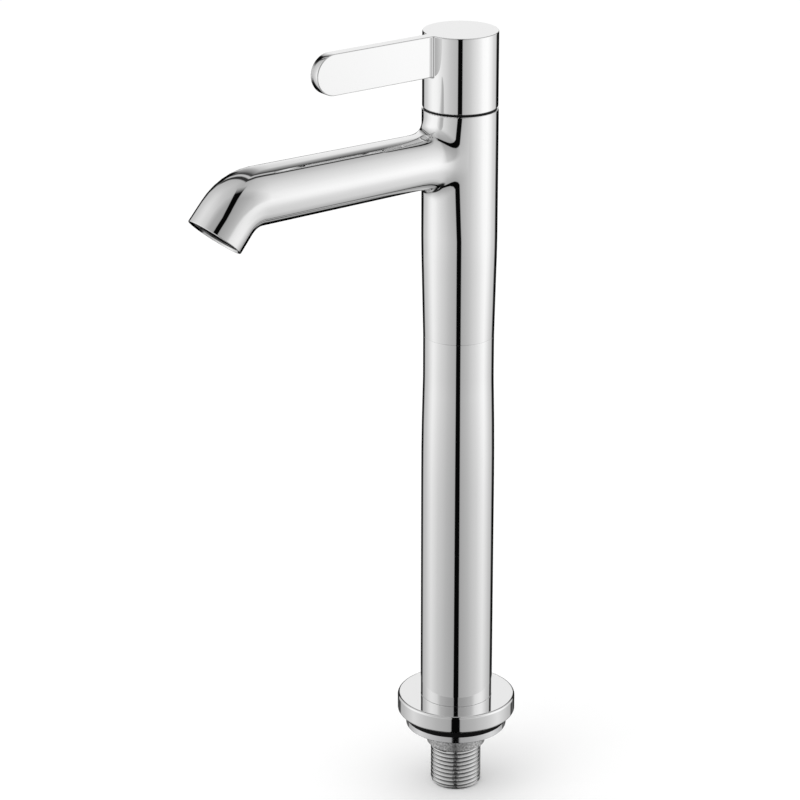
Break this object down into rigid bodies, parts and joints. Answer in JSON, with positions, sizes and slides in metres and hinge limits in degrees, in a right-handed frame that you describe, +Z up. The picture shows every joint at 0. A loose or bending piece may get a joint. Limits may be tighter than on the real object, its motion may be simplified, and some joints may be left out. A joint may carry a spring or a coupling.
{
  "type": "tall basin tap",
  "caption": "Tall pillar tap for a vessel basin: slim chrome column on a round flange, short spout turned down at its end, flat lever on a round cap, threaded inlet below.",
  "frame": {"origin": "centre of the deck seat: the middle of the clamping ring's underside, on the column's axis, level with the top of the basin", "axes": "+Z up along the column, -Y from the column towards the outlet, +X to the right of someone at the basin who faces the tap"},
  "size_m": [0.0488, 0.1478, 0.3242],
  "materials": {
    "polished_chrome": "mirror-polished chrome plate on cast brass",
    "plated_turning": "chrome plate over turned and rough cast brass",
    "brass": "machined brass",
    "black_rubber": "matt moulded rubber",
    "black_plastic": "satin acetal",
    "white_plastic": "satin acetal",
    "grey_plastic": "satin moulded plastic",
    "steel": "stainless, satin",
    "white_ceramic": "lapped alumina"
  },
  "bodies": {
    "tap": {"head_casting": "polished_chrome", "lower_column": "polished_chrome", "base_flange": "polished_chrome", "base_adapter": "plated_turning", "cartridge_body": "brass", "base_gasket": "black_rubber", "base_o_ring": "black_rubber", "column_o_ring": "black_rubber", "cartridge_o_ring": "black_rubber", "cartridge_seat_seal": "black_rubber", "aerator_seal": "black_rubber", "glide_ring": "black_plastic", "aerator_core": "white_plastic", "aerator_housing": "grey_plastic", "aerator_screen": "steel", "aerator_strainer": "steel", "fixed_disc": "white_ceramic"},
    "handle_group": {"handle": "polished_chrome", "handle_set_screw": "steel", "set_screw_plug": "polished_chrome", "spline_adapter": "white_plastic", "cartridge_spindle": "brass", "spindle_circlip": "steel", "spindle_o_rings": "black_rubber", "moving_disc": "white_ceramic", "thrust_washer": "white_plastic"}
  },
  "joints": [
    {"name": "handle_turn", "type": "hinge", "parent": "tap", "child": "handle_group", "pos_m": [0, 0, 0.267], "axis": [0, 0, 1], "range_deg": [0, 90]}
  ]
}
